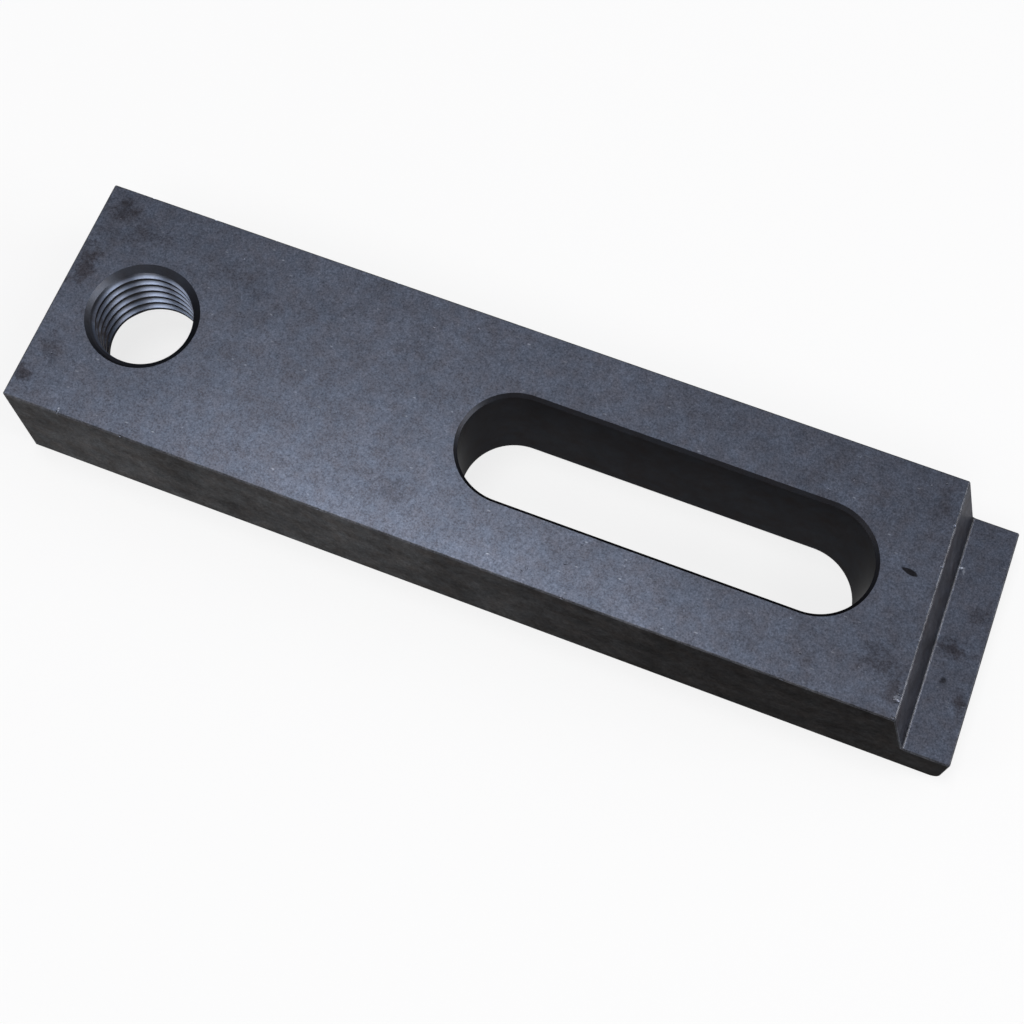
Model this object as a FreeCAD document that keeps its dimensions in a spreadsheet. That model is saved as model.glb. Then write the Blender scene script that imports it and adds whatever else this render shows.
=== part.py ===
import FreeCAD, Part
import math
import os
from FreeCAD import Vector
import Sketcher

# A mold clamp: one bar of steel with a stepped toe that bears in the mold's clamp slot, a closed slot
# for the stud, and a tapped hole in the heel for the jack screw.
#
# The frame: +X runs from heel to toe, +Y across the bar, +Z up. The origin is at the middle of the
# bar's underside. All sizes are in millimetres.

NODE = "clamp_bar"
TOLERANCE = 1e-4

# Driving dimensions: alias, value and what it measures.
DIMENSIONS = (
    ("bar_length", 193.5, "heel end to toe end"),
    ("bar_width", 50.0, "side to side"),
    ("bar_thickness", 25.0, "underside to top face"),
    ("toe_length", 9.5, "foot of the shoulder to toe end"),
    ("toe_thickness", 10.0, "underside to top of the toe"),
    ("shoulder_angle", 16.5, "slope of the shoulder off the vertical, in degrees"),
    ("shoulder_foot_radius", 1.0, "fillet between shoulder and toe"),
    ("nose_radius", 2.0, "round on the toe's lower front edge"),
    ("slot_width", 22.0, "wall to wall, clear on an M20 stud"),
    ("slot_travel", 60.5, "centre to centre of the slot's round ends"),
    ("slot_to_toe", 36.5, "centre of the slot's outer round end to toe end"),
    ("slot_chamfer", 0.7, "on the slot's rim, top and bottom"),
    ("hole_to_heel", 18.0, "axis of the tapped hole to heel end"),
    ("thread_major", 22.0, "M22 x 2.5 thread"),
    ("thread_pitch", 2.5, "the tap drill is this much smaller than the thread"),
    ("countersink_lip", 0.4, "by which the countersink's radius passes the thread's"),
    ("countersink_angle", 90.0, "included angle, in degrees"),
    ("relief_clearance", 2.8, "by which the relief's radius passes the thread's"),
    ("relief_depth", 8.0, "of the relief under the thread, from the underside"),
    ("edge_break", 0.3, "chamfer on the bar's outer edges"),
)


def make_sheet(doc):
    """The spreadsheet that holds the driving dimensions."""
    sheet = doc.addObject("Spreadsheet::Sheet", "dims")
    for row, (alias, value, note) in enumerate(DIMENSIONS, start=1):
        sheet.set("A%d" % row, alias)
        sheet.set("B%d" % row, str(value))
        sheet.set("C%d" % row, note)
        sheet.setAlias("B%d" % row, alias)
    doc.recompute()
    return sheet


class Sizes:
    """The sheet's values, and the places that follow from them, to draw each sketch near its solution."""

    def __init__(self, sheet):
        for alias, _, _ in DIMENSIONS:
            setattr(self, alias, float(sheet.get(alias)))
        self.toe_end = self.bar_length / 2
        self.heel_end = -self.toe_end
        self.shoulder_foot = self.toe_end - self.toe_length
        rise = self.bar_thickness - self.toe_thickness
        self.shoulder_run = rise * math.tan(math.radians(self.shoulder_angle))
        self.slot_outer = self.toe_end - self.slot_to_toe
        self.slot_inner = self.slot_outer - self.slot_travel
        self.slot_radius = self.slot_width / 2
        self.hole_axis = self.heel_end + self.hole_to_heel
        self.bore_radius = (self.thread_major - self.thread_pitch) / 2
        self.mouth_radius = self.thread_major / 2 + self.countersink_lip
        self.relief_radius = self.thread_major / 2 + self.relief_clearance
        widening = self.mouth_radius - self.bore_radius
        self.countersink_depth = widening / math.tan(math.radians(self.countersink_angle / 2))


def new_sketch(body, name, role):
    """An empty sketch on one of the body's own origin planes."""
    sketch = body.newObject("Sketcher::SketchObject", name)
    plane = next(item for item in body.Origin.OriginFeatures if item.Role == role)
    sketch.AttachmentSupport = [(plane, "")]
    sketch.MapMode = "FlatFace"
    return sketch


def add_outline(sketch, points):
    """A closed run of straight lines through the points, joined end to end. Returns the lines' numbers."""
    corners = [Vector(x, y, 0) for x, y in points]
    lines = []
    for start, end in zip(corners, corners[1:] + corners[:1]):
        lines.append(sketch.addGeometry(Part.LineSegment(start, end), False))
    for line, following in zip(lines, lines[1:] + lines[:1]):
        sketch.addConstraint(Sketcher.Constraint("Coincident", line, 2, following, 1))
    return lines


def square_up(sketch, level, upright):
    """Hold some lines horizontal and others vertical."""
    for line in level:
        sketch.addConstraint(Sketcher.Constraint("Horizontal", line))
    for line in upright:
        sketch.addConstraint(Sketcher.Constraint("Vertical", line))


def bind(sketch, name, expression, kind, *where):
    """A named dimension of the sketch, driven by an expression on the sheet's cells."""
    number = sketch.addConstraint(Sketcher.Constraint(kind, *where))
    sketch.renameConstraint(number, name)
    sketch.setExpression("Constraints.%s" % name, expression)


def add_bar(body, size):
    """The side profile, with its sloped shoulder and stepped toe, padded across the bar's width."""
    sketch = new_sketch(body, "side_profile", "XZ_Plane")
    under, front, toe_top, shoulder, top, heel = add_outline(sketch, (
        (size.heel_end, 0),
        (size.toe_end, 0),
        (size.toe_end, size.toe_thickness),
        (size.shoulder_foot, size.toe_thickness),
        (size.shoulder_foot - size.shoulder_run, size.bar_thickness),
        (size.heel_end, size.bar_thickness),
    ))
    square_up(sketch, (under, toe_top, top), (front, heel))
    sketch.addConstraint(Sketcher.Constraint("Symmetric", under, 1, under, 2, -1, 1))
    bind(sketch, "length", "dims.bar_length", "DistanceX", under, 1, under, 2, size.bar_length)
    bind(sketch, "thickness", "dims.bar_thickness", "DistanceY", under, 1, top, 2, size.bar_thickness)
    bind(sketch, "toe_thickness", "dims.toe_thickness", "DistanceY", front, 1, front, 2, size.toe_thickness)
    bind(sketch, "toe_length", "dims.toe_length", "DistanceX", toe_top, 2, toe_top, 1, size.toe_length)
    bind(sketch, "shoulder_run",
         "(dims.bar_thickness - dims.toe_thickness) * tan(dims.shoulder_angle * 1deg)",
         "DistanceX", shoulder, 2, shoulder, 1, size.shoulder_run)
    pad = body.newObject("PartDesign::Pad", "bar")
    pad.Profile = sketch
    pad.SideType = "Symmetric"
    pad.setExpression("Length", "dims.bar_width")
    return pad


def add_slot(body, size):
    """The closed stud slot, cut through the bar along its centre line."""
    sketch = new_sketch(body, "slot_outline", "XY_Plane")

    def add_end(centre, start, end):
        circle = Part.Circle(Vector(centre, 0, 0), Vector(0, 0, 1), size.slot_radius)
        return sketch.addGeometry(Part.ArcOfCircle(circle, start, end), False)

    def add_side(start, end, y):
        return sketch.addGeometry(Part.LineSegment(Vector(start, y, 0), Vector(end, y, 0)), False)

    inner = add_end(size.slot_inner, math.pi / 2, 3 * math.pi / 2)
    near_side = add_side(size.slot_inner, size.slot_outer, -size.slot_radius)
    outer = add_end(size.slot_outer, -math.pi / 2, math.pi / 2)
    far_side = add_side(size.slot_outer, size.slot_inner, size.slot_radius)
    run = (inner, near_side, outer, far_side)
    for piece, following in zip(run, run[1:] + run[:1]):
        sketch.addConstraint(Sketcher.Constraint("Tangent", piece, 2, following, 1))
    for end in (inner, outer):
        sketch.addConstraint(Sketcher.Constraint("PointOnObject", end, 3, -1))
    sketch.addConstraint(Sketcher.Constraint("Equal", inner, outer))
    bind(sketch, "radius", "dims.slot_width / 2", "Radius", inner, size.slot_radius)
    bind(sketch, "travel", "dims.slot_travel", "DistanceX", inner, 3, outer, 3, size.slot_travel)
    bind(sketch, "place", "dims.bar_length / 2 - dims.slot_to_toe",
         "DistanceX", -1, 1, outer, 3, size.slot_outer)
    pocket = body.newObject("PartDesign::Pocket", "stud_slot")
    pocket.Profile = sketch
    pocket.Type = "ThroughAll"
    pocket.Reversed = True
    return pocket


def add_hole(body, size):
    """The heel hole, turned about its axis: countersunk mouth, tap drill bore, relief underneath."""
    top = size.bar_thickness
    sketch = new_sketch(body, "hole_profile", "XZ_Plane")
    axis, lip, cone, wall, ledge, side, bottom = add_outline(sketch, (
        (size.hole_axis, 0),
        (size.hole_axis, top),
        (size.hole_axis + size.mouth_radius, top),
        (size.hole_axis + size.bore_radius, top - size.countersink_depth),
        (size.hole_axis + size.bore_radius, size.relief_depth),
        (size.hole_axis + size.relief_radius, size.relief_depth),
        (size.hole_axis + size.relief_radius, 0),
    ))
    square_up(sketch, (lip, ledge, bottom), (axis, wall, side))
    sketch.addConstraint(Sketcher.Constraint("PointOnObject", axis, 1, -1))
    bind(sketch, "place", "dims.bar_length / 2 - dims.hole_to_heel",
         "DistanceX", axis, 1, -1, 1, -size.hole_axis)
    bind(sketch, "height", "dims.bar_thickness", "DistanceY", axis, 1, axis, 2, top)
    bind(sketch, "mouth_radius", "dims.thread_major / 2 + dims.countersink_lip",
         "DistanceX", lip, 1, lip, 2, size.mouth_radius)
    bind(sketch, "bore_radius", "(dims.thread_major - dims.thread_pitch) / 2",
         "DistanceX", lip, 1, cone, 2, size.bore_radius)
    bind(sketch, "countersink_depth",
         "(dims.countersink_lip + dims.thread_pitch / 2) / tan(dims.countersink_angle * 0.5deg)",
         "DistanceY", cone, 2, cone, 1, size.countersink_depth)
    bind(sketch, "relief_radius", "dims.thread_major / 2 + dims.relief_clearance",
         "DistanceX", bottom, 2, bottom, 1, size.relief_radius)
    bind(sketch, "relief_depth", "dims.relief_depth", "DistanceY", side, 2, side, 1, size.relief_depth)
    groove = body.newObject("PartDesign::Groove", "tapped_hole")
    groove.Profile = sketch
    groove.ReferenceAxis = (sketch, ["Edge%d" % (axis + 1)])
    groove.Angle = 360
    return groove


def same(value, target):
    return abs(value - target) < TOLERANCE


def edges_where(feature, test):
    """The names of the feature's edges whose ends and middle all pass the test."""
    names = []
    for number, edge in enumerate(feature.Shape.Edges, start=1):
        middle = edge.valueAt((edge.FirstParameter + edge.LastParameter) / 2)
        if all(test(point) for point in [vertex.Point for vertex in edge.Vertexes] + [middle]):
            names.append("Edge%d" % number)
    return names


def dress(body, kind, name, base, test, quantity, alias):
    """A fillet or chamfer on the base's edges that pass the test, its size driven by the sheet."""
    edges = edges_where(base, test)
    if not edges:
        raise RuntimeError("%s has no edge" % name)
    feature = body.newObject(kind, name)
    feature.Base = (base, edges)
    feature.setExpression(quantity, "dims.%s" % alias)
    return feature


def add_shoulder_foot(body, base, size):
    """The fillet where the shoulder runs into the top of the toe."""
    def at_foot(point):
        return same(point.x, size.shoulder_foot) and same(point.z, size.toe_thickness)

    return dress(body, "PartDesign::Fillet", "shoulder_foot", base, at_foot, "Radius", "shoulder_foot_radius")


def add_nose(body, base, size):
    """The round on the toe's lower front edge, which leads it over the edge of the mold's slot."""
    def at_nose(point):
        return same(point.x, size.toe_end) and same(point.z, 0)

    return dress(body, "PartDesign::Fillet", "nose", base, at_nose, "Radius", "nose_radius")


def add_edge_break(body, base, size):
    """The small chamfer round both sides of the bar, on the heel's two edges and on the toe's upper edge."""
    def on_outer_edge(point):
        on_side = same(abs(point.y), size.bar_width / 2)
        on_face = same(point.z, 0) or same(point.z, size.bar_thickness)
        on_heel = same(point.x, size.heel_end) and on_face
        on_toe = same(point.x, size.toe_end) and same(point.z, size.toe_thickness)
        return on_side or on_heel or on_toe

    return dress(body, "PartDesign::Chamfer", "edge_break", base, on_outer_edge, "Size", "edge_break")


def add_slot_rim(body, base, size):
    """The chamfer on the slot's rim, in the top face and in the underside."""
    def on_rim(point):
        on_face = same(point.z, 0) or same(point.z, size.bar_thickness)
        beside = min(max(point.x, size.slot_inner), size.slot_outer)
        return on_face and same(math.hypot(point.x - beside, point.y), size.slot_radius)

    return dress(body, "PartDesign::Chamfer", "slot_rim", base, on_rim, "Size", "slot_chamfer")


def settle(doc, feature, base=None):
    """Recompute, then stop if the feature failed or, where it cuts its base, took no metal away."""
    doc.recompute()
    if {"Invalid", "Error"} & set(feature.State) or feature.Shape.isNull():
        raise RuntimeError("%s did not build" % feature.Name)
    if base is not None and feature.Shape.Volume > base.Shape.Volume - TOLERANCE:
        raise RuntimeError("%s cut nothing" % feature.Name)
    return feature


def build_clamp_bar(doc, size):
    """The whole clamp, as one body."""
    body = doc.addObject("PartDesign::Body", NODE)
    body.Label = NODE
    bar = settle(doc, add_bar(body, size))
    foot = settle(doc, add_shoulder_foot(body, bar, size))
    nose = settle(doc, add_nose(body, foot, size), foot)
    broken = settle(doc, add_edge_break(body, nose, size), nose)
    slotted = settle(doc, add_slot(body, size), broken)
    rimmed = settle(doc, add_slot_rim(body, slotted, size), slotted)
    body.Tip = settle(doc, add_hole(body, size), rimmed)
    body.Placement = FreeCAD.Placement(Vector(0, 0, 0), FreeCAD.Rotation())
    doc.recompute()
    return body


def check(doc, body):
    """Stop on a failed object, a loose sketch, or a body that is not one valid solid."""
    for item in doc.Objects:
        if {"Invalid", "Error"} & set(item.State):
            raise RuntimeError("%s is %s" % (item.Name, item.State))
        if item.isDerivedFrom("Sketcher::SketchObject") and not item.FullyConstrained:
            raise RuntimeError("%s is not fully constrained" % item.Name)
    if body.Shape.isNull() or not body.Shape.isValid() or len(body.Shape.Solids) != 1:
        raise RuntimeError("%s is not one valid solid" % body.Label)


def main():
    doc = FreeCAD.newDocument("mold_clamp")
    sheet = make_sheet(doc)
    body = build_clamp_bar(doc, Sizes(sheet))
    check(doc, body)
    os.makedirs("parts", exist_ok=True)
    body.Shape.exportStep("parts/%s.step" % body.Label)
    box = body.Shape.BoundBox
    print("%s: %.2f x %.2f x %.2f mm, %.2f cm3" % (
        body.Label, box.XLength, box.YLength, box.ZLength, body.Shape.Volume / 1000))


main()
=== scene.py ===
import bmesh
import bpy
import math
import random
from mathutils import Matrix, Vector


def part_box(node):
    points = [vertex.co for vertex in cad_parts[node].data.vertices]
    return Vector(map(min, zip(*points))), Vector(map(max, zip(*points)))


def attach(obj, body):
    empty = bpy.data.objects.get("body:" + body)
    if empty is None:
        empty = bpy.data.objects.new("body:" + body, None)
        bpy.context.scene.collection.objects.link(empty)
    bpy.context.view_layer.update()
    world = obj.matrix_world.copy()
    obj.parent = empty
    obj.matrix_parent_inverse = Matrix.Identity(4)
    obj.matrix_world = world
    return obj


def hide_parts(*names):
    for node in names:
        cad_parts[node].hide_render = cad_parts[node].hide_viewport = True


bl_info = {
    "name": "Mold Clamp",
    "version": (1, 0, 0),
    "blender": (4, 5, 0),
    "location": "3D Viewport > Sidebar > Mold Clamp",
    "description": "A stepped strap clamp with a stud slot and a tapped heel hole, on a pale studio floor",
    "category": "Add Mesh",
}

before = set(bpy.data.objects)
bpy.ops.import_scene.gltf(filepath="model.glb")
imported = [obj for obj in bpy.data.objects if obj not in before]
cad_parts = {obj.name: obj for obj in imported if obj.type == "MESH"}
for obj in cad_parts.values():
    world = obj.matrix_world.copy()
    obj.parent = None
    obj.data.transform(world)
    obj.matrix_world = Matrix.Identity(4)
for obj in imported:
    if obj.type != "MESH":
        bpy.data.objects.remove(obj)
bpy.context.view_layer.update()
NODE = "clamp_bar"
MM = 0.001
NODE_LOW, NODE_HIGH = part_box(NODE)


def linear(hex_colour):
    """An sRGB hex colour as linear red, green and blue."""
    channels = []
    for start in (1, 3, 5):
        value = int(hex_colour[start:start + 2], 16) / 255
        channels.append(value / 12.92 if value <= 0.04045 else ((value + 0.055) / 1.055) ** 2.4)
    return channels


def length_property(name, description, default_mm):
    """A length in metres, whose default is given in millimetres."""
    return bpy.props.FloatProperty(
        name=name, description=description, default=default_mm * MM, min=0.0, precision=5, unit="LENGTH")


def colour_property(name, description, default_hex):
    """A colour, whose default is given as sRGB hex."""
    return bpy.props.FloatVectorProperty(
        name=name, description=description, default=linear(default_hex), min=0.0, max=1.0, subtype="COLOR")


class ClampSizes(bpy.types.PropertyGroup):
    """The clamp's own sizes. Length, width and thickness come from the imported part."""

    toe_length: length_property("Toe Length", "Foot of the shoulder to toe end", 9.5)
    toe_thickness: length_property("Toe Thickness", "Underside to top of the toe", 10.0)
    shoulder_angle: bpy.props.FloatProperty(
        name="Shoulder Angle", description="Slope of the shoulder off the vertical",
        default=math.radians(16.5), subtype="ANGLE", unit="ROTATION")
    foot_radius: length_property("Shoulder Foot Radius", "Fillet between shoulder and toe", 1.0)
    nose_radius: length_property("Nose Radius", "Round on the toe's lower front edge", 2.0)
    edge_break: length_property("Edge Break", "Width of the broken outer edges", 0.3)
    slot_width: length_property("Slot Width", "Wall to wall across the stud slot", 22.0)
    slot_travel: length_property("Slot Travel", "Centre to centre of the slot's round ends", 60.5)
    slot_to_toe: length_property("Slot to Toe", "Centre of the outer round end to toe end", 36.5)
    slot_rim: length_property("Slot Rim", "Chamfer round the slot, top and bottom", 0.7)
    hole_to_heel: length_property("Hole to Heel", "Axis of the tapped hole to heel end", 18.0)
    thread_major: length_property("Thread Diameter", "Major diameter of the thread", 22.0)
    thread_pitch: length_property("Thread Pitch", "Rise of the thread in one turn", 2.5)
    countersink_lip: length_property("Countersink Lip", "Countersink radius beyond the thread's", 0.4)
    relief_clearance: length_property("Relief Clearance", "Relief radius beyond the thread's", 2.8)
    relief_depth: length_property("Relief Depth", "Depth of the relief under the thread", 8.0)
    relief_rim: length_property("Relief Rim", "Chamfer round the relief's lower rim", 2.0)


class ClampFinish(bpy.types.PropertyGroup):
    """The colours of the black oxide finish; some also carry painted shade and a painted edge highlight."""

    ground: colour_property("Ground Faces", "Oxide over the ground top face and toe", "#636A79")
    milled: colour_property("Milled Sides", "Oxide over the milled sides, at the heel", "#4E4F51")
    # painted shade: the sides darken towards the toe, where less light falls on them
    sides_at_toe_painted_shade: colour_property("Milled Sides at Toe", "Thicker oxide over the sides, at the toe", "#303031")
    shoulder: colour_property("Shoulder", "Oxide over the sloped shoulder", "#5C5E66")
    # painted shade: the slot's upright walls are darkened to stand in for the shade inside the slot
    slot_wall_painted_shade: colour_property("Slot Walls", "Thick oxide in the slot", "#343538")
    slot_edge: colour_property("Slot Rim", "Oxide over the chamfer round the slot", "#3E4046")
    countersink: colour_property("Countersink", "Oxide over the countersink", "#4C5059")
    # the bore's colour is also painted as shade in the thread's roots
    bore: colour_property("Bore", "Oxide over the drilled bore, left on the thread's crests", "#303134")
    thread: colour_property("Thread", "Thin oxide over the tapped flanks", "#727C8F")
    warm: colour_property("Warm Tint", "Multiplied in where the oxide turns brownish", "#E8C8B0")
    stain: colour_property("Stain", "Brownish stains", "#3A3537")
    mark: colour_property("Mark", "Small dark marks", "#1E1C1D")
    # bare steel is also laid on the edge breaks as a painted highlight, beside real wear
    bare: colour_property("Bare Steel", "Specks and edges where the oxide has worn off", "#A8AEBA")


class StageSettings(bpy.types.PropertyGroup):
    """The floor, the light and the camera."""

    floor: colour_property("Floor", "Colour of the pale floor", "#F6F6F6")
    horizon: colour_property("Horizon", "Colour of the studio's far walls", "#76767A")
    zenith: colour_property("Zenith", "Colour of the studio's ceiling", "#A2A2A6")
    lens: bpy.props.FloatProperty(
        name="Focal Length", description="Camera focal length on a 36 mm wide sensor",
        default=60.04, min=1.0, unit="CAMERA")


def add_node(tree, kind, settings=None, links=None):
    """Add a node to a tree with its settings, and with a value or another node's socket for each input."""
    node = tree.nodes.new(kind)
    for name, value in (settings or {}).items():
        setattr(node, name, value)
    for key, value in (links or {}).items():
        if isinstance(value, bpy.types.NodeSocket):
            tree.links.new(value, node.inputs[key])
        else:
            node.inputs[key].default_value = value
    return node


def add_object(name, data):
    """A new object at the origin, linked to the scene."""
    item = bpy.data.objects.new(name, data)
    bpy.context.scene.collection.objects.link(item)
    return item


def mesh_from(name, shape):
    """Turn a bmesh into a mesh object with its faces pointing outwards."""
    bmesh.ops.recalc_face_normals(shape, faces=shape.faces)
    mesh = bpy.data.meshes.new(name)
    shape.to_mesh(mesh)
    shape.free()
    return add_object(name, mesh)


def arc(centre, radius, start, end, steps):
    """Points on an arc between two angles in degrees."""
    points = []
    for step in range(steps + 1):
        angle = math.radians(start + (end - start) * step / steps)
        points.append((centre[0] + radius * math.cos(angle), centre[1] + radius * math.sin(angle)))
    return points


def stack_rings(name, rings):
    """A closed solid through rings of equal length, each a list of points, capped at both ends."""
    shape = bmesh.new()
    loops = [[shape.verts.new(point) for point in ring] for ring in rings]
    for lower, upper in zip(loops, loops[1:]):
        for here in range(len(lower)):
            after = (here + 1) % len(lower)
            shape.faces.new((lower[here], lower[after], upper[after], upper[here]))
    shape.faces.new(list(reversed(loops[0])))
    shape.faces.new(loops[-1])
    return mesh_from(name, shape)


def remove_object(item):
    """Remove an object and its mesh."""
    mesh = item.data
    bpy.data.objects.remove(item)
    bpy.data.meshes.remove(mesh)


def flatten(item):
    """Apply an object's modifiers by evaluating it to a plain mesh."""
    graph = bpy.context.evaluated_depsgraph_get()
    mesh = bpy.data.meshes.new_from_object(item.evaluated_get(graph))
    item.modifiers.clear()
    old = item.data
    item.data = mesh
    bpy.data.meshes.remove(old)


def cut(item, cutter):
    """Subtract one solid from another and remove the cutter."""
    modifier = item.modifiers.new("cut", "BOOLEAN")
    modifier.operation = "DIFFERENCE"
    modifier.solver = "EXACT"
    modifier.object = cutter
    flatten(item)
    remove_object(cutter)


NOSE_STEPS = 12
FILLET_STEPS = 10
EDGE_SEGMENTS = 3
EDGE_PROFILE = 0.35
SAME_PLACE = 1e-6


def bar_blank(sizes):
    """The bar with its sloped shoulder and stepped toe, before the slot and the hole."""
    heel, toe = NODE_LOW.x, NODE_HIGH.x
    top = NODE_HIGH.z
    foot = toe - sizes.toe_length
    slope = sizes.shoulder_angle
    shoulder_top = foot - (top - sizes.toe_thickness) * math.tan(slope)
    fillet = sizes.foot_radius
    turn = math.pi / 2 - slope
    back = fillet * math.tan(turn / 2)
    fillet_centre = (foot + back, sizes.toe_thickness + fillet)
    nose_centre = (toe - sizes.nose_radius, sizes.nose_radius)
    outline = [(heel, 0.0)]
    outline += arc(nose_centre, sizes.nose_radius, -90, 0, NOSE_STEPS)
    outline += [(toe, sizes.toe_thickness)]
    outline += arc(fillet_centre, fillet, 270, 180 + math.degrees(slope), FILLET_STEPS)
    outline += [(shoulder_top, top), (heel, top)]
    shape = bmesh.new()
    loops = []
    for y in (NODE_LOW.y, NODE_HIGH.y):
        loops.append([shape.verts.new((x, y, z)) for x, z in outline])
    count = len(outline)
    for here in range(count):
        after = (here + 1) % count
        shape.faces.new((loops[0][here], loops[0][after], loops[1][after], loops[1][here]))
    shape.faces.new(loops[0])
    shape.faces.new(list(reversed(loops[1])))
    bmesh.ops.recalc_face_normals(shape, faces=shape.faces)
    corners = ((heel, 0.0), (heel, top), (toe, sizes.toe_thickness), (shoulder_top, top))

    def at(edge, x, z):
        return all(abs(v.co.x - x) < SAME_PLACE and abs(v.co.z - z) < SAME_PLACE for v in edge.verts)

    broken = []
    for edge in shape.edges:
        on_side = abs(edge.verts[0].co.y - edge.verts[1].co.y) < SAME_PLACE
        on_corner = any(at(edge, x, z) for x, z in corners)
        if on_side or on_corner:
            broken.append(edge)
    bmesh.ops.bevel(
        shape, geom=broken, offset=sizes.edge_break, offset_type="OFFSET", segments=EDGE_SEGMENTS,
        profile=EDGE_PROFILE, affect="EDGES", clamp_overlap=False)
    return mesh_from("machined_bar", shape)


# a cutter stands this far out of the bar, so that no two faces share a plane
OVERSHOOT = 1.0 * MM
SLOT_END_STEPS = 48
HOLE_STEPS = 144


def slot_cutter(sizes):
    """The stud slot as a solid that flares at both rims and stands out of the bar."""
    outer = NODE_HIGH.x - sizes.slot_to_toe
    inner = outer - sizes.slot_travel
    radius = sizes.slot_width / 2
    rim = sizes.slot_rim
    flare = radius + rim + OVERSHOOT
    top = NODE_HIGH.z
    levels = ((-OVERSHOOT, flare), (rim, radius), (top - rim, radius), (top + OVERSHOOT, flare))
    rings = []
    for z, reach in levels:
        outline = arc((outer, 0), reach, -90, 90, SLOT_END_STEPS)
        outline += arc((inner, 0), reach, 90, 270, SLOT_END_STEPS)
        rings.append([(x, y, z) for x, y in outline])
    return stack_rings("slot_cutter", rings)


def hole_cutter(sizes):
    """The heel hole as a solid: chamfered relief below, tap drill bore, countersunk mouth above."""
    axis = NODE_LOW.x + sizes.hole_to_heel
    bore = (sizes.thread_major - sizes.thread_pitch) / 2
    mouth = sizes.thread_major / 2 + sizes.countersink_lip
    relief = sizes.thread_major / 2 + sizes.relief_clearance
    top = NODE_HIGH.z
    rim = sizes.relief_rim
    roof = sizes.relief_depth
    levels = ((-OVERSHOOT, relief + rim + OVERSHOOT), (rim, relief), (roof, relief), (roof, bore),
              (top - (mouth - bore), bore), (top + OVERSHOOT, mouth + OVERSHOOT))
    last = HOLE_STEPS - 1
    rings = []
    for z, reach in levels:
        rings.append([(x, y, z) for x, y in arc((axis, 0), reach, 0, 360 * last / HOLE_STEPS, last)])
    return stack_rings("hole_cutter", rings)


DINGS = (
    # place of the middle and reach in millimetres
    ((-85.1, -24.9, 25.0), (0.22, 0.9, 0.35)),
    ((-71.6, -24.95, 24.95), (0.5, 0.3, 0.3)),
    ((-30.4, -24.95, 24.95), (0.6, 0.25, 0.3)),
    ((18.7, -24.95, 24.95), (0.4, 0.3, 0.3)),
    ((61.3, -24.95, 24.95), (0.5, 0.3, 0.25)),
    ((81.9, -21.2, 25.05), (0.8, 0.5, 0.25)),
    ((82.1, -19.9, 25.05), (0.6, 0.3, 0.25)),
    ((82.3, -24.6, 25.0), (0.5, 0.4, 0.3)),
    ((82.5, 6.4, 25.05), (0.4, 0.35, 0.2)),
    ((82.5, 15.1, 25.05), (0.4, 0.5, 0.2)),
    ((-88.0, 24.9, 24.95), (0.7, 0.4, 0.35)),
    ((-79.5, 24.95, 24.95), (0.5, 0.35, 0.3)),
    ((-74.2, 24.9, 24.95), (0.6, 0.35, 0.35)),
    ((-61.0, 24.95, 24.95), (0.5, 0.3, 0.3)),
    ((-34.5, 24.9, 24.95), (0.9, 0.3, 0.3)),
    ((-9.0, 24.95, 24.95), (0.5, 0.3, 0.3)),
    ((22.0, 24.95, 24.95), (0.6, 0.3, 0.3)),
    ((55.5, 24.9, 24.95), (0.8, 0.3, 0.3)),
    ((87.9, 13.5, 10.05), (0.3, 0.7, 0.12)),
)
DENT_COUNT = 60
DENT_SEED = 11
DENT_REACH = (0.25 * MM, 0.6 * MM)
# a dent's middle and half height as shares of its reach, and how much narrower it may be across
DENT_MIDDLE = 0.5
DENT_HEIGHT = 0.6
DENT_SQUEEZE = (0.5, 1.0)
# dents keep clear of the edges, and of the toe and its shoulder
LEDGE = 2.0 * MM
SHOULDER_LEDGE = 8.0 * MM


def ding_cutter(sizes):
    """Small blunt solids that leave nicks in the edges and shallow dents in the top face."""
    chance = random.Random(DENT_SEED)
    top = NODE_HIGH.z
    clear_of_slot = sizes.slot_width / 2 + LEDGE
    solids = [([value * MM for value in place], [value * MM for value in reach]) for place, reach in DINGS]
    while len(solids) < len(DINGS) + DENT_COUNT:
        x = chance.uniform(NODE_LOW.x + LEDGE, NODE_HIGH.x - sizes.toe_length - SHOULDER_LEDGE)
        y = chance.uniform(NODE_LOW.y + LEDGE, NODE_HIGH.y - LEDGE)
        reach = chance.uniform(*DENT_REACH)
        if abs(y) > clear_of_slot:
            place = (x, y, top + DENT_MIDDLE * reach)
            solids.append((place, (reach, reach * chance.uniform(*DENT_SQUEEZE), DENT_HEIGHT * reach)))
    shape = bmesh.new()
    for place, reach in solids:
        matrix = Matrix.Translation(place) @ Matrix.Diagonal((*reach, 1.0))
        bmesh.ops.create_icosphere(shape, subdivisions=2, radius=1.0, matrix=matrix)
    return mesh_from("ding_cutter", shape)


# the turn of the thread's start, how far its groove runs on below and above, and its profile
THREAD_START = 22.0
LEAD_IN = 3.0 * MM
LEAD_OUT = 2.0 * MM
GROOVE_DEPTH = 1.8 * MM
ROOT_FLAT = 0.3 * MM
FLANK_ANGLE = 30.0
STEPS_PER_TURN = 144


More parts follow.
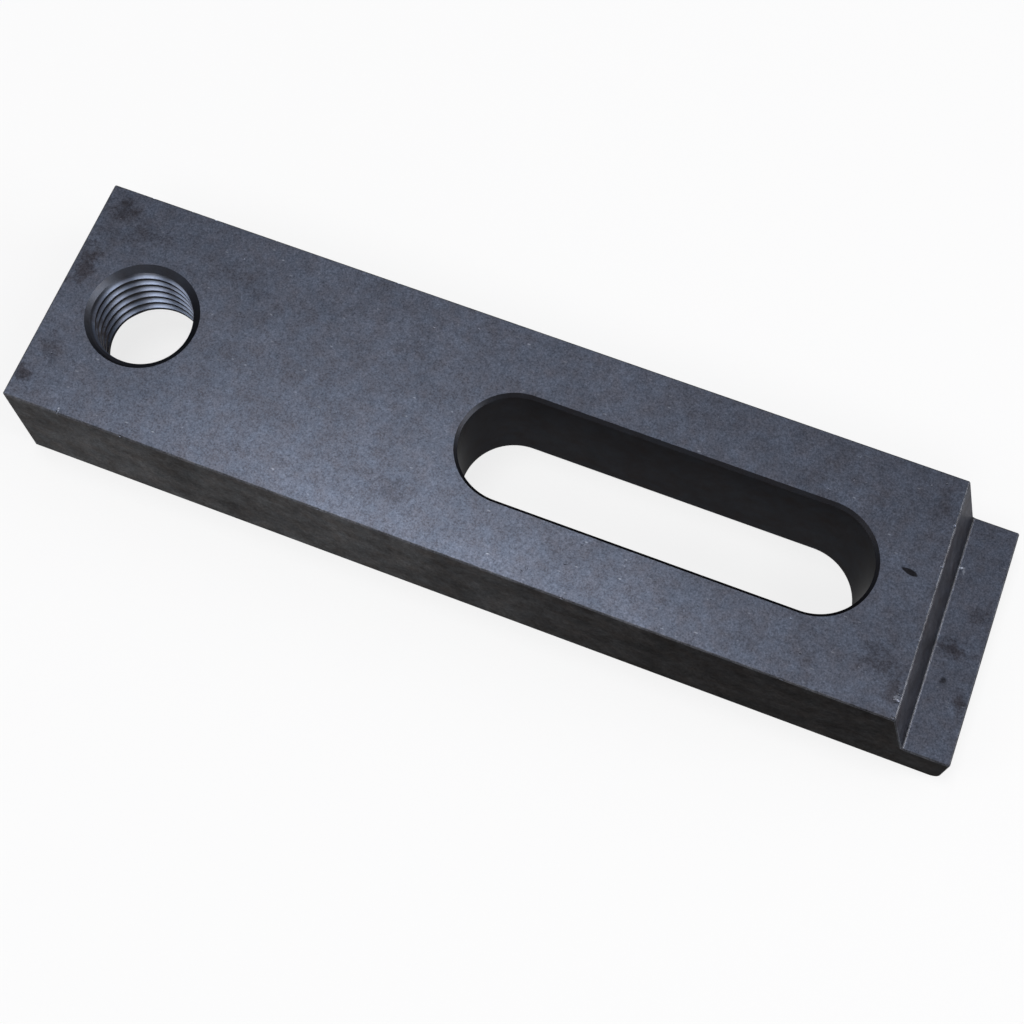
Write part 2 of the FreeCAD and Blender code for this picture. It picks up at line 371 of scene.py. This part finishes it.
def thread_tree():
    """Geometry nodes that sweep a thread's groove profile along a helix about the local Z axis."""
    tree = bpy.data.node_groups.new("thread_groove", "GeometryNodeTree")
    lengths = {
        "Major Radius": 11.0 * MM, "Pitch": 2.5 * MM, "Depth": GROOVE_DEPTH, "Root Flat": ROOT_FLAT}
    for name, default in lengths.items():
        socket = tree.interface.new_socket(name, in_out="INPUT", socket_type="NodeSocketFloat")
        socket.subtype = "DISTANCE"
        socket.default_value = default
    turns = tree.interface.new_socket("Turns", in_out="INPUT", socket_type="NodeSocketFloat")
    turns.default_value = 9.0
    tree.interface.new_socket("Material", in_out="INPUT", socket_type="NodeSocketMaterial")
    tree.interface.new_socket("Geometry", in_out="OUTPUT", socket_type="NodeSocketGeometry")
    given = add_node(tree, "NodeGroupInput")
    half_depth = add_node(tree, "ShaderNodeMath", {"operation": "MULTIPLY"},
                          {0: given.outputs["Depth"], 1: 0.5})
    middle = add_node(tree, "ShaderNodeMath", {"operation": "SUBTRACT"},
                      {0: given.outputs["Major Radius"], 1: half_depth.outputs[0]})
    height = add_node(tree, "ShaderNodeMath", {"operation": "MULTIPLY"},
                      {0: given.outputs["Turns"], 1: given.outputs["Pitch"]})
    helix = add_node(tree, "GeometryNodeCurveSpiral", {}, {
        "Resolution": STEPS_PER_TURN, "Rotations": given.outputs["Turns"], "Start Radius": middle.outputs[0],
        "End Radius": middle.outputs[0], "Height": height.outputs[0], "Reverse": True})
    upright = add_node(tree, "GeometryNodeSetCurveNormal", {"mode": "Z_UP"},
                       {"Curve": helix.outputs["Curve"]})
    flank_rise = add_node(tree, "ShaderNodeMath", {"operation": "MULTIPLY"},
                          {0: given.outputs["Depth"], 1: 2 * math.tan(math.radians(FLANK_ANGLE))})
    mouth = add_node(tree, "ShaderNodeMath", {"operation": "ADD"},
                     {0: given.outputs["Root Flat"], 1: flank_rise.outputs[0]})
    profile = add_node(tree, "GeometryNodeCurvePrimitiveQuadrilateral", {"mode": "TRAPEZOID"}, {
        "Height": given.outputs["Depth"], "Bottom Width": mouth.outputs[0],
        "Top Width": given.outputs["Root Flat"], "Offset": 0.0})
    outward = add_node(tree, "GeometryNodeTransform", {}, {
        "Geometry": profile.outputs["Curve"], "Rotation": (0.0, 0.0, -math.pi / 2)})
    sweep = add_node(tree, "GeometryNodeCurveToMesh", {}, {
        "Curve": upright.outputs["Curve"], "Profile Curve": outward.outputs["Geometry"], "Fill Caps": True})
    real = add_node(tree, "GeometryNodeRealizeInstances", {}, {"Geometry": sweep.outputs["Mesh"]})
    coated = add_node(tree, "GeometryNodeSetMaterial", {}, {
        "Geometry": real.outputs["Geometry"], "Material": given.outputs["Material"]})
    add_node(tree, "NodeGroupOutput", {}, {"Geometry": coated.outputs["Geometry"]})
    return tree


def thread_cutter(sizes, material):
    """The thread's groove as a solid in its place in the bore, from inside the relief to above the top."""
    tree = thread_tree()
    item = add_object("thread_cutter", bpy.data.meshes.new("thread_cutter"))
    item.data.materials.append(material)
    modifier = item.modifiers.new("groove", "NODES")
    modifier.node_group = tree
    start = sizes.relief_depth - LEAD_IN
    rise = NODE_HIGH.z + LEAD_OUT - start
    values = {
        "Major Radius": sizes.thread_major / 2, "Pitch": sizes.thread_pitch, "Depth": GROOVE_DEPTH,
        "Root Flat": ROOT_FLAT, "Turns": rise / sizes.thread_pitch, "Material": material}
    for socket in tree.interface.items_tree:
        if socket.in_out == "INPUT":
            modifier[socket.identifier] = values[socket.name]
    flatten(item)
    turn = Matrix.Rotation(math.radians(THREAD_START), 4, "Z")
    axis = NODE_LOW.x + sizes.hole_to_heel
    item.data.transform(Matrix.Translation((axis, 0.0, start)) @ turn)
    return item


PATCHES = (
    # kind, place of the middle and reach in millimetres, turn about Z in degrees, strength, blur of the rim
    # painted shade on the thread's left wall in the hole, from top to bottom, listed as a stain
    ("stain", (-88.3, -4.0, 15.0), (3.5, 4.5, 14.0), 0, 0.85, 1.0),
    ("stain", (-92.5, 20.5, 25.0), (4.5, 4.5, 2.0), 0, 0.65, 1.0),
    ("stain", (-86.0, 16.5, 25.0), (6.0, 4.0, 2.0), 20, 0.4, 1.0),
    ("stain", (-94.0, 6.0, 25.0), (3.4, 7.5, 2.0), 0, 0.7, 1.0),
    ("stain", (-92.5, -12.5, 25.0), (3.0, 4.0, 2.0), 0, 0.4, 1.0),
    ("stain", (-95.0, -19.5, 25.0), (2.6, 3.4, 2.0), 0, 0.75, 1.0),
    ("stain", (-62.0, 14.0, 25.0), (7.0, 3.0, 2.0), -15, 0.2, 1.0),
    ("stain", (-25.0, 13.5, 25.0), (5.0, 4.0, 2.0), 0, 0.25, 1.0),
    ("stain", (-19.0, -16.5, 25.0), (6.0, 3.5, 2.0), 0, 0.3, 1.0),
    ("mark", (77.2, 3.3, 25.0), (1.9, 0.65, 2.0), -13, 0.92, 0.3),
    ("stain", (76.5, -15.0, 25.0), (5.5, 4.5, 2.0), 0, 0.45, 1.0),
    ("stain", (80.5, -19.5, 25.0), (3.0, 5.0, 2.0), 0, 0.55, 1.0),
    ("stain", (79.5, 18.0, 25.0), (2.5, 6.0, 2.0), 0, 0.35, 1.0),
    ("stain", (91.3, -3.0, 10.0), (4.5, 3.2, 2.0), 0, 0.7, 1.0),
    ("stain", (93.5, 5.5, 10.0), (3.0, 2.4, 2.0), 0, 0.5, 1.0),
    ("mark", (91.0, -9.3, 10.0), (1.1, 0.8, 2.0), 30, 0.7, 0.7),
    ("stain", (95.0, -12.0, 10.0), (1.8, 3.0, 2.0), 0, 0.65, 1.0),
    ("bare", (88.1, 13.9, 10.0), (0.8, 0.3, 2.0), 20, 0.6, 0.6),
    ("bare", (88.6, 13.2, 10.0), (0.3, 0.8, 2.0), 10, 0.6, 0.6),
    ("bare", (-85.1, -24.3, 25.0), (0.25, 1.0, 2.0), 0, 0.8, 0.6),
    ("bare", (81.8, -20.6, 25.0), (0.7, 0.6, 2.0), 30, 0.5, 0.8),
)
# noise strays about a quarter of its range from its middle, so a swing is multiplied by four
NOISE_GAIN = 4.0
PATTERNS = {
    # size in millimetres, detail, swing of the shade on the ground faces, and on the milled walls.
    # The steel's own grain is about 0.1 mm, too fine to show, so it is drawn 0.34 mm coarse.
    "grain": (0.34, 2.0, 0.45, 0.42),
    "pebble": (1.1, 2.0, 0.08, 0.2),
    "mottle": (4.5, 3.0, 0.06, 0.22),
    "cloud": (18.0, 3.0, 0.09, 0.26),
}


RAGGED = 2.4
HUE_SIZE = 3.0 * MM
WOBBLE_SIZE = 2.2 * MM
SPECK_SIZE = 1.1 * MM
GRAIN_HEIGHT = 0.005 * MM
REGION_MARGIN = 0.1 * MM


def patch_masks(tree, spot, shift):
    """One mask for each kind of patch, with rims made ragged by a centred noise."""
    masks = {"stain": 0.0, "mark": 0.0, "bare": 0.0}
    for kind, middle, reach, turn, strength, blur in PATCHES:
        patch = add_node(tree, "ShaderNodeMapping", {"vector_type": "TEXTURE"}, {
            "Vector": spot, "Location": [value * MM for value in middle],
            "Rotation": (0.0, 0.0, math.radians(turn)), "Scale": [value * MM for value in reach]})
        far = add_node(tree, "ShaderNodeVectorMath", {"operation": "LENGTH"}, {0: patch.outputs["Vector"]})
        ragged = add_node(tree, "ShaderNodeMath", {"operation": "MULTIPLY_ADD"}, {
            0: shift, 1: RAGGED * blur, 2: far.outputs["Value"]})
        share = add_node(tree, "ShaderNodeMapRange", {"interpolation_type": "SMOOTHSTEP"}, {
            "Value": ragged.outputs[0], "From Min": 1.0 - blur, "From Max": 1.0,
            "To Min": strength, "To Max": 0.0})
        masks[kind] = add_node(tree, "ShaderNodeMath", {"operation": "MAXIMUM"}, {
            0: masks[kind], 1: share.outputs["Result"]}).outputs[0]
    return masks


def oxide_steel(finish, sizes):
    """Black oxide on ground and milled steel: dark, blue-grey and mottled, with a fine pebbled grain,
    painted shade at the toe, in the slot, in the thread's roots and on the hole's left wall, and a painted
    highlight on the edge breaks.
    """
    material = bpy.data.materials.new("black_oxide_steel")
    material.use_nodes = True
    tree = material.node_tree
    shader = tree.nodes["Principled BSDF"]
    shader.inputs["Metallic"].default_value = 1.0
    shader.inputs["Specular Tint"].default_value = (0.4, 0.4, 0.4, 1.0)
    place = add_node(tree, "ShaderNodeTexCoord")
    spot = place.outputs["Object"]
    at = add_node(tree, "ShaderNodeSeparateXYZ", {}, {0: spot})
    facing = add_node(tree, "ShaderNodeVectorMath", {"operation": "ABSOLUTE"}, {0: place.outputs["Normal"]})
    tilt = add_node(tree, "ShaderNodeSeparateXYZ", {}, {0: facing.outputs["Vector"]})
    level = add_node(tree, "ShaderNodeMapRange", {}, {
        "Value": tilt.outputs["Z"], "From Min": 0.9, "From Max": 0.97})
    level = level.outputs["Result"]

    # where the slot and the hole are
    slot_end = NODE_HIGH.x - sizes.slot_to_toe
    slot_middle = slot_end - sizes.slot_travel / 2
    slot_half = sizes.slot_width / 2 + sizes.slot_rim + REGION_MARGIN
    along = add_node(tree, "ShaderNodeMath", {"operation": "COMPARE"}, {
        0: at.outputs["X"], 1: slot_middle, 2: sizes.slot_travel / 2 + slot_half})
    across = add_node(tree, "ShaderNodeMath", {"operation": "COMPARE"}, {
        0: at.outputs["Y"], 1: 0.0, 2: slot_half})
    in_slot = add_node(tree, "ShaderNodeMath", {"operation": "MULTIPLY"}, {
        0: along.outputs[0], 1: across.outputs[0]})
    hole_half = sizes.thread_major / 2 + sizes.relief_clearance + REGION_MARGIN
    near_axis = add_node(tree, "ShaderNodeMath", {"operation": "COMPARE"}, {
        0: at.outputs["X"], 1: NODE_LOW.x + sizes.hole_to_heel, 2: hole_half})
    near_middle = add_node(tree, "ShaderNodeMath", {"operation": "COMPARE"}, {
        0: at.outputs["Y"], 1: 0.0, 2: hole_half})
    in_hole = add_node(tree, "ShaderNodeMath", {"operation": "MULTIPLY"}, {
        0: near_axis.outputs[0], 1: near_middle.outputs[0]})
    sink_depth = sizes.thread_pitch / 2 + sizes.countersink_lip
    in_sink = add_node(tree, "ShaderNodeMath", {"operation": "GREATER_THAN"}, {
        0: at.outputs["Z"], 1: NODE_HIGH.z - sink_depth})

    # the oxide's colour on each kind of face: sides, shoulder, slot, thread, countersink, ground faces
    # painted shade: the sides turn from the heel's colour to a darker one towards the toe, where less light
    # falls
    toe_shade = add_node(tree, "ShaderNodeMapRange", {"interpolation_type": "SMOOTHSTEP"}, {
        "Value": at.outputs["X"], "From Min": -40 * MM, "From Max": 50 * MM})
    sides = add_node(tree, "ShaderNodeMix", {"data_type": "RGBA"}, {
        0: toe_shade.outputs["Result"], 6: (*finish.milled, 1.0), 7: (*finish.sides_at_toe_painted_shade, 1.0)})

    # the shoulder and its fillet, and the upper edge breaks, are bluer than the sides
    upward = add_node(tree, "ShaderNodeSeparateXYZ", {}, {0: place.outputs["Normal"]})
    on_slope = add_node(tree, "ShaderNodeMath", {"operation": "GREATER_THAN"}, {
        0: upward.outputs["Z"], 1: math.sin(sizes.shoulder_angle) - 0.05})
    curled = add_node(tree, "ShaderNodeMapRange", {}, {
        "Value": upward.outputs["Z"], "From Min": 0.35, "From Max": 0.5, "To Min": 1.0, "To Max": 0.45})
    bluish = add_node(tree, "ShaderNodeMath", {"operation": "MULTIPLY"}, {
        0: on_slope.outputs[0], 1: curled.outputs["Result"]})
    sides = add_node(tree, "ShaderNodeMix", {"data_type": "RGBA"}, {
        0: bluish.outputs[0], 6: sides.outputs[2], 7: (*finish.shoulder, 1.0)})

    # the slot's upright walls, darkened as painted shade of the slot's inside, and the chamfers round it
    flat = add_node(tree, "ShaderNodeMath", {"operation": "LESS_THAN"}, {0: tilt.outputs["Z"], 1: 0.5})
    slot_sides = add_node(tree, "ShaderNodeMix", {"data_type": "RGBA"}, {
        0: flat.outputs[0], 6: (*finish.slot_edge, 1.0), 7: (*finish.slot_wall_painted_shade, 1.0)})
    walls = add_node(tree, "ShaderNodeMix", {"data_type": "RGBA"}, {
        0: in_slot.outputs[0], 6: sides.outputs[2], 7: slot_sides.outputs[2]})

    # painted shade: the thread's flanks keep their own colour near the crests and turn to the bore's colour
    # in the roots, where shade falls between the turns
    sloped = add_node(tree, "ShaderNodeMapRange", {}, {
        "Value": tilt.outputs["Z"], "From Min": 0.3, "From Max": 0.6})
    off_axis = add_node(tree, "ShaderNodeVectorMath", {"operation": "SUBTRACT"}, {
        0: spot, 1: (NODE_LOW.x + sizes.hole_to_heel, 0.0, 0.0)})
    off_axis = add_node(tree, "ShaderNodeVectorMath", {"operation": "MULTIPLY"}, {
        0: off_axis.outputs["Vector"], 1: (1.0, 1.0, 0.0)})
    radius = add_node(tree, "ShaderNodeVectorMath", {"operation": "LENGTH"}, {0: off_axis.outputs["Vector"]})
    crest = (sizes.thread_major - sizes.thread_pitch) / 2
    clear_of_root_shade = add_node(tree, "ShaderNodeMapRange", {"interpolation_type": "SMOOTHSTEP"}, {
        "Value": radius.outputs["Value"], "From Min": crest + 0.15 * MM, "From Max": crest + 0.75 * MM,
        "To Min": 1.0, "To Max": 0.15})
    flank = add_node(tree, "ShaderNodeMath", {"operation": "MULTIPLY"}, {
        0: sloped.outputs["Result"], 1: clear_of_root_shade.outputs["Result"]})
    tapped = add_node(tree, "ShaderNodeMix", {"data_type": "RGBA"}, {
        0: flank.outputs[0], 6: (*finish.bore, 1.0), 7: (*finish.thread, 1.0)})
    hole_sides = add_node(tree, "ShaderNodeMix", {"data_type": "RGBA"}, {
        0: in_sink.outputs[0], 6: tapped.outputs[2], 7: (*finish.countersink, 1.0)})
    walls = add_node(tree, "ShaderNodeMix", {"data_type": "RGBA"}, {
        0: in_hole.outputs[0], 6: walls.outputs[2], 7: hole_sides.outputs[2]})
    colour = add_node(tree, "ShaderNodeMix", {"data_type": "RGBA"}, {
        0: level, 6: walls.outputs[2], 7: (*finish.ground, 1.0)})

    # brownish and bluish patches of the oxide
    hue = add_node(tree, "ShaderNodeTexNoise", {}, {
        "Vector": spot, "Scale": 1 / HUE_SIZE, "Detail": 4.0, "Roughness": 0.6})
    warmth = add_node(tree, "ShaderNodeMapRange", {}, {
        "Value": hue.outputs["Fac"], "From Min": 0.35, "From Max": 0.75, "To Min": 0.0, "To Max": 0.42})
    colour = add_node(tree, "ShaderNodeMix", {"data_type": "RGBA", "blend_type": "MULTIPLY"}, {
        0: warmth.outputs["Result"], 6: colour.outputs[2], 7: (*finish.warm, 1.0)})

    # stains, small dark marks, and marks where the oxide is rubbed off; the first stain is painted shade on
    # the hole's left wall
    wobble = add_node(tree, "ShaderNodeTexNoise", {}, {
        "Vector": spot, "Scale": 1 / WOBBLE_SIZE, "Detail": 4.0, "Roughness": 0.65})
    shift = add_node(tree, "ShaderNodeMath", {"operation": "SUBTRACT"}, {0: wobble.outputs["Fac"], 1: 0.5})
    masks = patch_masks(tree, spot, shift.outputs[0])
    for kind, tint in (("stain", finish.stain), ("mark", finish.mark)):
        colour = add_node(tree, "ShaderNodeMix", {"data_type": "RGBA"}, {
            0: masks[kind], 6: colour.outputs[2], 7: (*tint, 1.0)})

    # worn edges and a painted highlight: the faces of the edge breaks are turned away from all three axes,
    # and are lightened towards bare steel, partly as wear and partly standing in for the light they catch
    widest = add_node(tree, "ShaderNodeMath", {"operation": "MAXIMUM"}, {
        0: tilt.outputs["X"], 1: tilt.outputs["Y"]})
    widest = add_node(tree, "ShaderNodeMath", {"operation": "MAXIMUM"}, {
        0: widest.outputs[0], 1: tilt.outputs["Z"]})
    edge = add_node(tree, "ShaderNodeMapRange", {}, {
        "Value": widest.outputs[0], "From Min": 0.955, "From Max": 0.9, "To Min": 0.0, "To Max": 0.12})
    rubbed = add_node(tree, "ShaderNodeMapRange", {}, {
        "Value": wobble.outputs["Fac"], "From Min": 0.35, "From Max": 0.65, "To Min": 0.45, "To Max": 1.0})
    worn = add_node(tree, "ShaderNodeMath", {"operation": "MULTIPLY"}, {
        0: edge.outputs["Result"], 1: rubbed.outputs["Result"]})
    openings = add_node(tree, "ShaderNodeMath", {"operation": "MAXIMUM"}, {
        0: in_slot.outputs[0], 1: in_hole.outputs[0]})
    outside = add_node(tree, "ShaderNodeMath", {"operation": "SUBTRACT"}, {
        0: 1.0, 1: openings.outputs[0]})
    worn = add_node(tree, "ShaderNodeMath", {"operation": "MULTIPLY"}, {
        0: worn.outputs[0], 1: outside.outputs[0]})

    # tiny specks of bare steel and tiny dark pits, longer along the bar than across it
    lengthened = add_node(tree, "ShaderNodeVectorMath", {"operation": "MULTIPLY"}, {
        0: spot, 1: (0.4, 1.0, 1.0)})
    specks = add_node(tree, "ShaderNodeTexVoronoi", {}, {
        "Vector": lengthened.outputs["Vector"], "Scale": 1 / SPECK_SIZE})
    speck_core = add_node(tree, "ShaderNodeMapRange", {}, {
        "Value": specks.outputs["Distance"], "From Min": 0.05, "From Max": 0.17,
        "To Min": 1.0, "To Max": 0.0})
    speck_kind = add_node(tree, "ShaderNodeSeparateColor", {}, {0: specks.outputs["Color"]})
    speck_rare = add_node(tree, "ShaderNodeMapRange", {}, {
        "Value": speck_kind.outputs[0], "From Min": 0.6, "From Max": 1.0, "To Min": 0.0, "To Max": 0.65})
    specked = add_node(tree, "ShaderNodeMath", {"operation": "MULTIPLY"}, {
        0: speck_core.outputs["Result"], 1: speck_rare.outputs["Result"]})
    specked = add_node(tree, "ShaderNodeMath", {"operation": "MULTIPLY"}, {0: specked.outputs[0], 1: level})
    bared_and_highlit = add_node(tree, "ShaderNodeMath", {"operation": "MAXIMUM"}, {
        0: specked.outputs[0], 1: masks["bare"]})
    # the worn edges, which also carry a painted highlight, join the bare steel here
    bared_and_highlit = add_node(tree, "ShaderNodeMath", {"operation": "MAXIMUM"}, {
        0: bared_and_highlit.outputs[0], 1: worn.outputs[0]})
    colour = add_node(tree, "ShaderNodeMix", {"data_type": "RGBA"}, {
        0: bared_and_highlit.outputs[0], 6: colour.outputs[2], 7: (*finish.bare, 1.0)})
    pitted = add_node(tree, "ShaderNodeMapRange", {}, {
        "Value": speck_kind.outputs[1], "From Min": 0.7, "From Max": 1.0, "To Min": 0.0, "To Max": 0.4})
    pits = add_node(tree, "ShaderNodeMath", {"operation": "MULTIPLY"}, {
        0: speck_core.outputs["Result"], 1: pitted.outputs["Result"]})
    shade_of = add_node(tree, "ShaderNodeMath", {"operation": "SUBTRACT"}, {
        0: 1.0, 1: pits.outputs[0]}).outputs[0]

    # the mottled shade, from fine grain to broad clouds
    noises = {}
    for name, (size, detail, on_ground, on_walls) in PATTERNS.items():
        noise = add_node(tree, "ShaderNodeTexNoise", {}, {
            "Vector": spot, "Scale": 1 / (size * MM), "Detail": detail, "Roughness": 0.6})
        noises[name] = noise.outputs["Fac"]
        centred = add_node(tree, "ShaderNodeMath", {"operation": "SUBTRACT"}, {0: noises[name], 1: 0.5})
        swing = add_node(tree, "ShaderNodeMapRange", {}, {
            "Value": level, "To Min": NOISE_GAIN * on_walls, "To Max": NOISE_GAIN * on_ground})
        factor = add_node(tree, "ShaderNodeMath", {"operation": "MULTIPLY_ADD"}, {
            0: centred.outputs[0], 1: swing.outputs["Result"], 2: 1.0})
        shade_of = add_node(tree, "ShaderNodeMath", {"operation": "MULTIPLY"}, {
            0: shade_of, 1: factor.outputs[0]}).outputs[0]

    # inside the slot and the hole the oxide is even
    covered = add_node(tree, "ShaderNodeMath", {"operation": "SUBTRACT"}, {0: 1.0, 1: level})
    inside = add_node(tree, "ShaderNodeMath", {"operation": "MULTIPLY"}, {
        0: openings.outputs[0], 1: covered.outputs[0]})
    calm = add_node(tree, "ShaderNodeMath", {"operation": "MULTIPLY"}, {0: inside.outputs[0], 1: 0.8})
    shade_of = add_node(tree, "ShaderNodeMix", {"data_type": "FLOAT"}, {
        0: calm.outputs[0], 2: shade_of, 3: 1.0})
    colour = add_node(tree, "ShaderNodeVectorMath", {"operation": "SCALE"}, {
        0: colour.outputs[2], "Scale": shade_of.outputs[0]})
    tree.links.new(colour.outputs["Vector"], shader.inputs["Base Color"])

    # milled walls are rougher than ground faces, and the tap has burnished the thread
    rough = add_node(tree, "ShaderNodeMapRange", {}, {"Value": level, "To Min": 0.4, "To Max": 0.31})
    rough = add_node(tree, "ShaderNodeMath", {"operation": "MULTIPLY_ADD"}, {
        0: noises["mottle"], 1: 0.06, 2: rough.outputs["Result"]})
    burnished = add_node(tree, "ShaderNodeMath", {"operation": "SUBTRACT", "use_clamp": True}, {
        0: in_hole.outputs[0], 1: in_sink.outputs[0]})
    rough = add_node(tree, "ShaderNodeMix", {"data_type": "FLOAT"}, {
        0: burnished.outputs[0], 2: rough.outputs[0], 3: 0.29})
    tree.links.new(rough.outputs[0], shader.inputs["Roughness"])
    bump = add_node(tree, "ShaderNodeBump", {}, {
        "Height": noises["grain"], "Strength": 1.0, "Distance": GRAIN_HEIGHT})
    tree.links.new(bump.outputs["Normal"], shader.inputs["Normal"])
    return material


SHARP_ANGLE = 15


def shade(item, angle):
    """Smooth shading, with every edge steeper than the angle kept sharp."""
    mesh = item.data
    mesh.shade_smooth()
    mesh.set_sharp_from_angle(angle=math.radians(angle))


class CLAMP_OT_bar(bpy.types.Operator):
    """Build the clamp bar with its stud slot and threaded hole"""

    bl_idname = "clamp.bar"
    bl_label = "Clamp Bar"

    def execute(self, context):
        sizes = context.scene.clamp_sizes
        material = oxide_steel(context.scene.clamp_finish, sizes)
        bar = bar_blank(sizes)
        bar.data.materials.append(material)
        cut(bar, slot_cutter(sizes))
        cut(bar, hole_cutter(sizes))
        cut(bar, thread_cutter(sizes, material))
        cut(bar, ding_cutter(sizes))
        shade(bar, SHARP_ANGLE)
        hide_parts(NODE)
        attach(bar, "root")
        return {"FINISHED"}


# the floor is a hair below the underside, so that the two never share a plane
FLOOR_RADIUS = 12.0
FLOOR_GAP = 0.02 * MM
# how far the floor is lifted towards white where the camera or the metal sees it
FLOOR_LIFT = 0.78


def pale_floor(colour):
    """Seamless paper: matt and nearly white, lifted towards white where the camera or the metal sees it."""
    material = bpy.data.materials.new("seamless_paper")
    material.use_nodes = True
    tree = material.node_tree
    shader = tree.nodes["Principled BSDF"]
    shader.inputs["Roughness"].default_value = 0.9
    shader.inputs["Base Color"].default_value = (*colour, 1.0)
    glow = add_node(tree, "ShaderNodeEmission", {}, {"Color": (1.0, 1.0, 1.0, 1.0), "Strength": 1.0})
    path = add_node(tree, "ShaderNodeLightPath")
    seen = add_node(tree, "ShaderNodeMath", {"operation": "ADD"}, {
        0: path.outputs["Is Camera Ray"], 1: path.outputs["Is Glossy Ray"]})
    seen = add_node(tree, "ShaderNodeMath", {"operation": "ADD", "use_clamp": True}, {
        0: seen.outputs[0], 1: path.outputs["Is Transmission Ray"]})
    lift = add_node(tree, "ShaderNodeMath", {"operation": "MULTIPLY"}, {
        0: seen.outputs[0], 1: FLOOR_LIFT})
    mixed = add_node(tree, "ShaderNodeMixShader", {}, {
        0: lift.outputs[0], 1: shader.outputs["BSDF"], 2: glow.outputs["Emission"]})
    tree.links.new(mixed.outputs["Shader"], tree.nodes["Material Output"].inputs["Surface"])
    return material


def studio_world(horizon, zenith):
    """A studio whose far walls are darker than its ceiling."""
    world = bpy.data.worlds.new("studio")
    world.use_nodes = True
    tree = world.node_tree
    direction = add_node(tree, "ShaderNodeTexCoord")
    height = add_node(tree, "ShaderNodeSeparateXYZ", {}, {0: direction.outputs["Generated"]})
    up = add_node(tree, "ShaderNodeMapRange", {"interpolation_type": "SMOOTHSTEP"}, {
        "Value": height.outputs["Z"], "From Min": 0.6, "From Max": 1.0})
    sky = add_node(tree, "ShaderNodeMix", {"data_type": "RGBA"}, {
        0: up.outputs["Result"], 6: (*horizon, 1.0), 7: (*zenith, 1.0)})
    backdrop = tree.nodes["Background"]
    backdrop.inputs["Strength"].default_value = 1.0
    tree.links.new(sky.outputs[2], backdrop.inputs["Color"])
    return world


def add_softbox(name, place, aim, size, radiance):
    """A rectangular white softbox at a place, aimed at a point, with its brightness as radiance."""
    lamp = bpy.data.lights.new(name, "AREA")
    lamp.shape = "RECTANGLE"
    lamp.size, lamp.size_y = size
    lamp.energy = radiance * math.pi * size[0] * size[1]
    item = add_object(name, lamp)
    item.location = place
    item.rotation_euler = (Vector(aim) - Vector(place)).to_track_quat("-Z", "Y").to_euler()


# the camera's place in metres and its turn in degrees
CAMERA_PLACE = (0.04470, -0.11899, 0.32535)
CAMERA_TURN = (20.821, -0.097, 21.143)
SOFTBOXES = (
    # name, place, aim and size in metres, radiance
    ("overhead", (-0.262, 0.03, 1.4), (-0.262, 0.03, 0.0), (0.4, 0.4), 11.4),
    ("right", (0.95, -0.12, 1.4), (-0.08, 0.0, 0.0), (0.55, 0.5), 3.4),
    ("near", (0.05, -0.95, 1.4), (-0.08, 0.0, 0.0), (0.7, 0.5), 3.9),
    ("toe_side", (1.2, 0.12, 0.6), (0.0, 0.0, 0.0), (0.8, 0.45), 6.0),
    ("heel_side", (-0.78, -0.58, 0.78), (-0.08, 0.0, 0.0), (0.55, 0.45), 1.9),
    ("back", (0.95, 1.05, 0.85), (0.0, 0.0, 0.0), (0.9, 0.6), 0.8),
)


class CLAMP_OT_stage(bpy.types.Operator):
    """Lay the pale floor, set the soft light and place the camera"""

    bl_idname = "clamp.stage"
    bl_label = "Studio Stage"

    def execute(self, context):
        settings = context.scene.clamp_stage
        shape = bmesh.new()
        bmesh.ops.create_circle(
            shape, cap_ends=True, segments=64, radius=FLOOR_RADIUS,
            matrix=Matrix.Translation((0.0, 0.0, -FLOOR_GAP)))
        floor = mesh_from("floor", shape)
        floor.data.materials.append(pale_floor(settings.floor))
        context.scene.world = studio_world(settings.horizon, settings.zenith)
        for softbox in SOFTBOXES:
            add_softbox(*softbox)
        camera = bpy.data.cameras.new("camera")
        camera.sensor_width = 36.0
        camera.lens = settings.lens
        camera.clip_start = 0.01
        item = add_object("camera", camera)
        item.location = CAMERA_PLACE
        item.rotation_euler = [math.radians(angle) for angle in CAMERA_TURN]
        context.scene.camera = item
        context.scene.view_settings.view_transform = "Standard"
        return {"FINISHED"}


class CLAMP_PT_panel(bpy.types.Panel):
    """The clamp's operators and sizes"""

    bl_idname = "CLAMP_PT_panel"
    bl_label = "Mold Clamp"
    bl_space_type = "VIEW_3D"
    bl_region_type = "UI"
    bl_category = "Mold Clamp"

    def draw(self, context):
        column = self.layout.column()
        for step in STEPS:
            column.operator(step.bl_idname)
        for group in (context.scene.clamp_sizes, context.scene.clamp_finish, context.scene.clamp_stage):
            for name in group.__annotations__:
                column.prop(group, name)


STEPS = (CLAMP_OT_bar, CLAMP_OT_stage)
SETTINGS = {"clamp_sizes": ClampSizes, "clamp_finish": ClampFinish, "clamp_stage": StageSettings}
CLASSES = (*SETTINGS.values(), *STEPS, CLAMP_PT_panel)


def register():
    for item in CLASSES:
        bpy.utils.register_class(item)
    for name, group in SETTINGS.items():
        setattr(bpy.types.Scene, name, bpy.props.PointerProperty(type=group))


def unregister():
    for name in SETTINGS:
        delattr(bpy.types.Scene, name)
    for item in reversed(CLASSES):
        bpy.utils.unregister_class(item)


def main():
    register()
    bpy.ops.clamp.bar()
    bpy.ops.clamp.stage()


if __name__ == "__main__":
    main()
